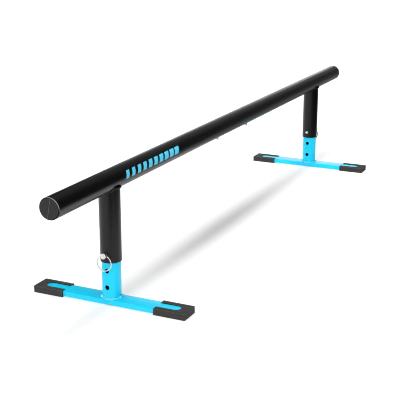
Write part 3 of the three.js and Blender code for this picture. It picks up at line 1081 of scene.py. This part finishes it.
ridge_half = rail_radius - CAP_ROUND
ridge = box_piece("cap_ridge", (cap_high.x - 2 * RIDGE_HEIGHT, -FLOW_LINE_WIDTH / 2, -ridge_half),
                  (cap_high.x, FLOW_LINE_WIDTH / 2, ridge_half))
edit(ridge)
pick("edges", lambda edge: both(edge, lambda co: co.x > cap_high.x - RIDGE_HEIGHT / 2))
bpy.ops.mesh.bevel(offset=RIDGE_ROUND, segments=3)
leave_edit_mode()
ridge.data.transform(turn_and_move(FLOW_LINE_LEAN, "X", (0, 0, rail_axis)))
combine(cap, ridge, "UNION")
for piece in finish_pair(cap, "cap_plastic", "rail", "end_cap_END").values():
    repaint(piece, "cap_rim_plastic", lambda middle, normal: (
        RIM_NORMALS[0] < abs(normal.x) < RIM_NORMALS[1] and abs(middle.x) > cap_back
        and math.hypot(middle.y, middle.z - rail_axis) > rail_radius - CAP_ROUND))

# %% [markdown]
# ## Spring buttons
#
# Under the middle, two plated buttons stick out of the rail and lock its halves to the joiner
# tube inside. A button has a round tip, a straight shank and a wide flange that keeps it in.

# %% Buttons
BUTTON_RADIUS = 4.25 * MM
BUTTON_TIP_ROUND = 1.7 * MM
BUTTON_FLANGE = 1.5 * MM
TIP_STEPS = 8
flange_radius = (button_high.x - button_low.x) / 2
button_outline = [
    (0, button_low.z),
    *arc(BUTTON_RADIUS - BUTTON_TIP_ROUND, button_low.z + BUTTON_TIP_ROUND, BUTTON_TIP_ROUND,
         -math.pi / 2, TIP_STEPS),
    (BUTTON_RADIUS, button_high.z - BUTTON_FLANGE),
    (flange_radius, button_high.z - BUTTON_FLANGE),
    (flange_radius, button_high.z),
    (0, button_high.z),
]
button = spun("button_far", button_outline, "z", (button_x, 0))
finish_pair(button, "yellow_zinc_plate", "button_END", "snap_button_END")

# %% [markdown]
# Behind each button a bent leaf of spring steel bears on the joiner's bore. It can't be seen. In
# the real rail it folds when its button is pressed, or the button would go through it. A copy of
# the construction piece is fine enough here, and it stays with the rail.

# %% Leaf springs
for end in ("far", "near"):
    leaf = add_object(f"leaf_{end}", frame["nodes"][f"button_spring_{end}"].data.copy())
    clean(leaf)
    finish(leaf, "bare_spring_steel", "rail", f"button_spring_{end}")
    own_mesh(leaf)

# %% [markdown]
# ## Leg sleeves
#
# A sleeve is as wide as the rail. Its top is coped to the rail, which leaves two blunt horns, and
# one pin hole goes through it near the bottom. The cope is the rail's own shape, cut away.

# %% Sleeves
SLEEVE_WALL = 2.3 * MM
PIN_HOLE_RADIUS = 5.7 * MM
COPE_GAP = 0.3 * MM
COPE_SIDES = 160
sleeve_low, sleeve_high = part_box("leg_sleeve_far")
leg_x = (sleeve_low.x + sleeve_high.x) / 2
sleeve_radius = (sleeve_high.y - sleeve_low.y) / 2


def pin_holes(height):
    """A hole on either side of a leg, at a height."""
    return [(height, turn, PIN_HOLE_RADIUS) for turn in (0, math.pi)]


sleeve = rolled_tube("sleeve_far", "z", (leg_x, 0), sleeve_radius, SLEEVE_WALL, sleeve_low.z,
                     sleeve_high.z, pin_holes(pin_axis))
combine(sleeve, round_bar("cope", "x", rail_radius + COPE_GAP, leg_x - 2 * sleeve_radius,
                          leg_x + 2 * sleeve_radius, (0, rail_axis), COPE_SIDES))
finish_pair(sleeve, "black_coat", "rail", "leg_sleeve_END")

# %% [markdown]
# ## Posts
#
# The blue post slides in the sleeve. Its row of holes sets the rail's height: the locking pin
# fills the top one, and two show below the sleeve.

# %% Posts
POST_WALL = 2.5 * MM
POST_RIM = 0.7 * MM
HOLE_PITCH = 41.5 * MM
HOLE_COUNT = 3
post_radius = (post_high.y - post_low.y) / 2
post_holes = sum((pin_holes(pin_axis - HOLE_PITCH * count) for count in range(HOLE_COUNT)), [])
post = rolled_tube("post_far", "z", (leg_x, 0), post_radius, POST_WALL, post_low.z, post_high.z,
                   post_holes, rim=POST_RIM)
finish_pair(post, "blue_coat", "stand_END", "leg_post_END")

# %% [markdown]
# ## Foot bars
#
# Each foot is a length of flat rectangular tube. It starts as a box. Its four long edges are
# bevelled into round corners, and each end face is inset by the wall's thickness. Bridging the two
# inset faces makes the bore.

# %% Bars
BAR_WALL = 2 * MM
BAR_ROUND = 2.5 * MM
bar_low, bar_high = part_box("foot_bar_far")
bar = box_piece("bar_far", bar_low, bar_high)
edit(bar)
pick("edges", lambda edge: reach(edge).y > (bar_high.y - bar_low.y) / 2)
bpy.ops.mesh.bevel(offset=BAR_ROUND, segments=6)
pick("faces", lambda face: abs(face.normal.y) > FACING)
bpy.ops.mesh.inset(thickness=BAR_WALL)
bpy.ops.mesh.bridge_edge_loops()
clean(bar)
finish_pair(bar, "blue_coat", "stand_END", "foot_bar_END")

# %% [markdown]
# ## Rubber pads
#
# A pad slips over the bar's end. It is a box with rounded outer corners and soft edges. A room for
# the bar and a slot in the top are cut out of it, and the slot's lip is rounded last.

# %% Pads
PAD_CORNER = 3 * MM
PAD_EDGE = 1.1 * MM
PAD_GAP = 0.3 * MM
NEAR = 0.1 * MM
pad_low, pad_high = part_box("foot_pad_far_left")
pad = box_piece("pad_far_left", pad_low, pad_high)
edit(pad)
pick("edges", lambda edge: both(edge, lambda co: co.y > pad_high.y - MM) and reach(edge).z > MM)
bpy.ops.mesh.bevel(offset=PAD_CORNER, segments=6)
pick("edges", lambda edge: any(both(edge, lambda co: abs(co.z - level) < NEAR)
                               for level in (pad_low.z, pad_high.z))
     and not both(edge, lambda co: co.y < pad_low.y + NEAR))
bpy.ops.mesh.bevel(offset=PAD_EDGE, segments=4)

room = box_piece("bar_room", (bar_low.x - PAD_GAP, pad_low.y - PAD_GAP, bar_low.z - PAD_GAP),
                 (bar_high.x + PAD_GAP, bar_high.y + PAD_GAP, bar_high.z + PAD_GAP))
edit(room)
pick("edges", lambda edge: reach(edge).y > PAD_CORNER)
bpy.ops.mesh.bevel(offset=BAR_ROUND, segments=4)
combine(pad, room)

# %% Pad slot
PAD_LIP_ROUND = 0.9 * MM
SLOT_WIDTH = 24 * MM
SLOT_MARGIN = 24 * MM
slot_end = pad_high.y - SLOT_MARGIN
slot = box_piece("pad_slot", (leg_x - SLOT_WIDTH / 2, pad_low.y - PAD_GAP, bar_high.z),
                 (leg_x + SLOT_WIDTH / 2, slot_end, pad_high.z + MM))
edit(slot)
pick("edges", lambda edge: both(edge, lambda co: co.y > slot_end - MM) and reach(edge).z > MM / 2)
bpy.ops.mesh.bevel(offset=SLOT_WIDTH / 2 - MM / 100, segments=16)
combine(pad, slot)
clean(pad)
edit(pad)
pick("edges", lambda edge: both(edge, lambda co: (
    abs(co.z - pad_high.z) < NEAR / 2 and abs(co.x - leg_x) < SLOT_WIDTH / 2 + NEAR / 2
    and co.y < slot_end + NEAR / 2)))
bpy.ops.mesh.bevel(offset=PAD_LIP_ROUND, segments=3)

# %% Four pads
# A face is level when the upward part of its normal is larger than this
LEVEL = 0.95
right_pad = twin(pad, "pad_far_right", centre=(leg_x, 0, 0))
pads = {("far", "left"): pad, ("far", "right"): right_pad,
        ("near", "right"): twin(pad, "pad_near_right"),
        ("near", "left"): twin(right_pad, "pad_near_left")}
for (end, side), piece in pads.items():
    finish(piece, "pad_rubber", f"stand_{end}", f"foot_pad_{end}_{side}")
    # The slot's walls and the pad's inner end get the painted shade
    repaint(piece, "cut_rubber", lambda middle, normal: (
        abs(normal.z) < LEVEL and (abs(middle.y) < pad_low.y + MM / 2
                                  or abs(abs(middle.x) - leg_x) < SLOT_WIDTH / 2 + PAD_LIP_ROUND
                                  and abs(middle.y) < slot_end + PAD_LIP_ROUND
                                  and middle.z > bar_high.z)))

# %% [markdown]
# ## Weld beads
#
# Two beads hold each leg: one where the sleeve meets the rail, and one round the foot of the
# post. A hand-laid bead is a row of overlapping scales, each a small frozen puddle. No primitive
# has that skin, so it is computed as rings of points along the seam. A ring swells and shrinks
# with a saw-tooth, and the crown of the ring lags behind its sides, which gives each scale its
# curved front.

# %% Bead maker
BEAD_SIDES = 20
STEPS_PER_SCALE = 7
CROWN_LAG = 0.9
SLOW_WAVE = 1.7


def weld_bead(name, seam, width, scales, swell):
    """A closed bead along seam(turn), which gives a ring's centre and its outward direction."""
    count = scales * STEPS_PER_SCALE
    centres = [seam(2 * math.pi * step / count) for step in range(count)]
    corners = []
    faces = []
    for step, (middle, outward) in enumerate(centres):
        following = (step + 1) % count
        ahead = (centres[following][0] - centres[step - 1][0]).normalized()
        side = ahead.cross(outward).normalized()
        out = side.cross(ahead).normalized()
        for corner in range(BEAD_SIDES):
            turn = 2 * math.pi * corner / BEAD_SIDES
            phase = (step / STEPS_PER_SCALE + CROWN_LAG * max(math.cos(turn), 0)) % 1
            wave = 1 - swell * phase + swell / 2 * math.sin(SLOW_WAVE * step / STEPS_PER_SCALE)
            corners.append(middle + width * wave * (math.cos(turn) * out + math.sin(turn) * side))
            beside = (corner + 1) % BEAD_SIDES
            faces.append([ring * BEAD_SIDES + place for ring, place in (
                (step, corner), (following, corner), (following, beside), (step, beside))])
    mesh = bpy.data.meshes.new(name)
    mesh.from_pydata(corners, [], faces)
    piece = add_object(name, mesh)
    clean(piece)
    return piece


# %% Saddle beads
SADDLE_BEAD = 3.2 * MM
SADDLE_LEAN = -0.6


def saddle_seam(turn):
    """Round the top of the sleeve: low before and behind, level over the horns."""
    y = sleeve_radius * math.sin(turn)
    drop = max(math.sqrt(max(rail_radius ** 2 - y ** 2, 0)), rail_axis - sleeve_high.z)
    outward = Vector((math.cos(turn), math.sin(turn), SADDLE_LEAN)).normalized()
    return Vector((leg_x + sleeve_radius * math.cos(turn), y, rail_axis - drop)), outward


saddle = weld_bead("saddle_bead_far", saddle_seam, SADDLE_BEAD, scales=40, swell=0.16)
finish_pair(saddle, "black_bead_coat", "rail", "saddle_weld_END", smooth=60)

# %% Foot beads
FOOT_BEAD = 4.2 * MM
FOOT_LEAN = 0.8
FOOT_OVERHANG = 0.8 * FOOT_BEAD
bead_low, bead_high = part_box("post_weld_far")
foot_reach = min(post_radius, (bead_high.x - bead_low.x) / 2 - FOOT_OVERHANG)


def foot_seam(turn):
    """Round the post's foot, drawn in where the bar's edges are near."""
    outward = Vector((math.cos(turn), math.sin(turn), FOOT_LEAN)).normalized()
    x = leg_x + foot_reach * math.cos(turn)
    return Vector((x, post_radius * math.sin(turn), post_low.z)), outward


foot = weld_bead("foot_bead_far", foot_seam, FOOT_BEAD, scales=34, swell=0.28)
finish_pair(foot, "blue_bead_coat", "stand_END", "post_weld_END", smooth=60)

# %% [markdown]
# ## Locking pins
#
# A pin is turned from bar: a shank with a chamfered tip, and a wide head. A cross hole in the head
# takes the pull ring, and a blind pocket near the tip holds a sprung ball. The cutter for the
# cross hole flares at its ends, so the hole's mouths come out countersunk.

# %% Pins
PIN_RADIUS = 4.9 * MM
PIN_ROUND = 0.7 * MM
TIP_CHAMFER = 1.3 * MM
HEAD_BACK = 0.3 * MM
head_radius = (pin_high.z - pin_low.z) / 2
head_back = leg_x + sleeve_radius + HEAD_BACK
pin_outline = [
    (0, pin_low.x),
    (PIN_RADIUS - TIP_CHAMFER, pin_low.x),
    (PIN_RADIUS, pin_low.x + TIP_CHAMFER),
    (PIN_RADIUS, head_back),
    (head_radius, head_back),
    (head_radius, pin_high.x),
    (0, pin_high.x),
]
pin = spun("pin_far", pin_outline, "x", (0, pin_axis), PIN_ROUND)

# %% Cross hole and ball pocket
RING_HOLE_RADIUS = 2.4 * MM
RING_HOLE_FLARE = 0.6 * MM
POCKET_RADIUS = 2.15 * MM
POCKET_FLOOR = 2.5 * MM
ring_low, ring_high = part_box("pull_ring_far")
ball_low, ball_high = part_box("detent_ball_far")
ring_x = (ring_low.x + ring_high.x) / 2
ball_x = (ball_low.x + ball_high.x) / 2
cross_outline = [
    (0, -2 * head_radius),
    (RING_HOLE_RADIUS + 2 * RING_HOLE_FLARE, -2 * head_radius),
    (RING_HOLE_RADIUS + RING_HOLE_FLARE, -head_radius),
    (RING_HOLE_RADIUS, -head_radius + 2 * RING_HOLE_FLARE),
]
cross_outline += [(radius, -place) for radius, place in reversed(cross_outline)]
drill = spun("cross_drill", cross_outline, "z", (0, 0))
drill.data.transform(turn_and_move(math.pi / 2, "X", (ring_x, 0, pin_axis)))
combine(pin, drill)
combine(pin, round_bar("pocket_drill", "y", POCKET_RADIUS, -2 * PIN_RADIUS,
                       PIN_RADIUS - POCKET_FLOOR, (ball_x, pin_axis), HOLE_SIDES))
finish_pair(pin, "bright_nickel", "pin_END", "lock_pin_END", smooth=25)

# %% [markdown]
# ## Detent balls
#
# A ball stops the pin from sliding out by itself. A ball made from a cube has even faces all over
# and no poles: the cube is subdivided and pushed out to a sphere.

# %% Balls
BALL_CUTS = 9
ball_centre = (ball_low + ball_high) / 2
ball_radius = (ball_high.y - ball_low.y) / 2
cube_half = Vector((ball_radius,) * 3)
ball = box_piece("ball_far", ball_centre - cube_half, ball_centre + cube_half)
edit(ball, pick_all=True)
bpy.ops.mesh.subdivide(number_cuts=BALL_CUTS)
leave_edit_mode()
for vert in ball.data.vertices:
    vert.co = ball_centre + ball_radius * (vert.co - ball_centre).normalized()
finish_pair(ball, "bright_nickel", "ball_END", "detent_ball_END")

# %% [markdown]
# ## Pull rings
#
# The pull ring is a split ring, as on a bunch of keys: flat wire wound twice round, so that it can
# be threaded through the pin's head. Its outline is one small rounded section, and a Screw
# modifier winds it through two turns with a little rise.

# %% Rings
RING_WIRE = 2.4 * MM
RING_TURNS = 2
RING_STEPS = 96 * RING_TURNS
STRIP_GAP = 0.04 * MM
SECTION_ROUND = 0.25 * MM
strip_thickness = (ring_high.x - ring_low.x) / (RING_TURNS + 1) - STRIP_GAP
ring_rise = (ring_high.x - ring_low.x - strip_thickness) / RING_TURNS
ring_middle = (ring_high.z - ring_low.z - RING_WIRE) / 2
ring_centre = (ring_low.z + ring_high.z) / 2

ring = box_piece("ring_far", (ring_low.x, -NEAR, ring_centre + ring_middle - RING_WIRE / 2),
                 (ring_low.x + strip_thickness, NEAR, ring_centre + ring_middle + RING_WIRE / 2))
edit(ring)
pick("edges", lambda edge: reach(edge).y > NEAR)
bpy.ops.mesh.bevel(offset=SECTION_ROUND, segments=3)
pick("faces", lambda face: face.normal.y < FACING)
bpy.ops.mesh.delete(type="FACE")
leave_edit_mode()
for vert in ring.data.vertices:
    vert.co = (vert.co.x, 0, vert.co.z - ring_centre)
ring.data.transform(Matrix.Rotation(math.pi, 4, "X"))
modify(ring, "SCREW", axis="X", angle=RING_TURNS * 2 * math.pi,
       screw_offset=ring_rise * RING_TURNS, steps=RING_STEPS, render_steps=RING_STEPS)
ring.data.transform(Matrix.Translation((0, 0, ring_centre)))
clean(ring, 0.0005 * MM)
finish_pair(ring, "bright_nickel", "ring_END", "pull_ring_END", smooth=35)

# %% [markdown]
# ## The count
#
# The finished object must still fill the construction model's box. This cell counts the pieces
# made and their faces.

# %% Count the pieces
print("pieces made:", len(made), "faces:", sum(made.values()))
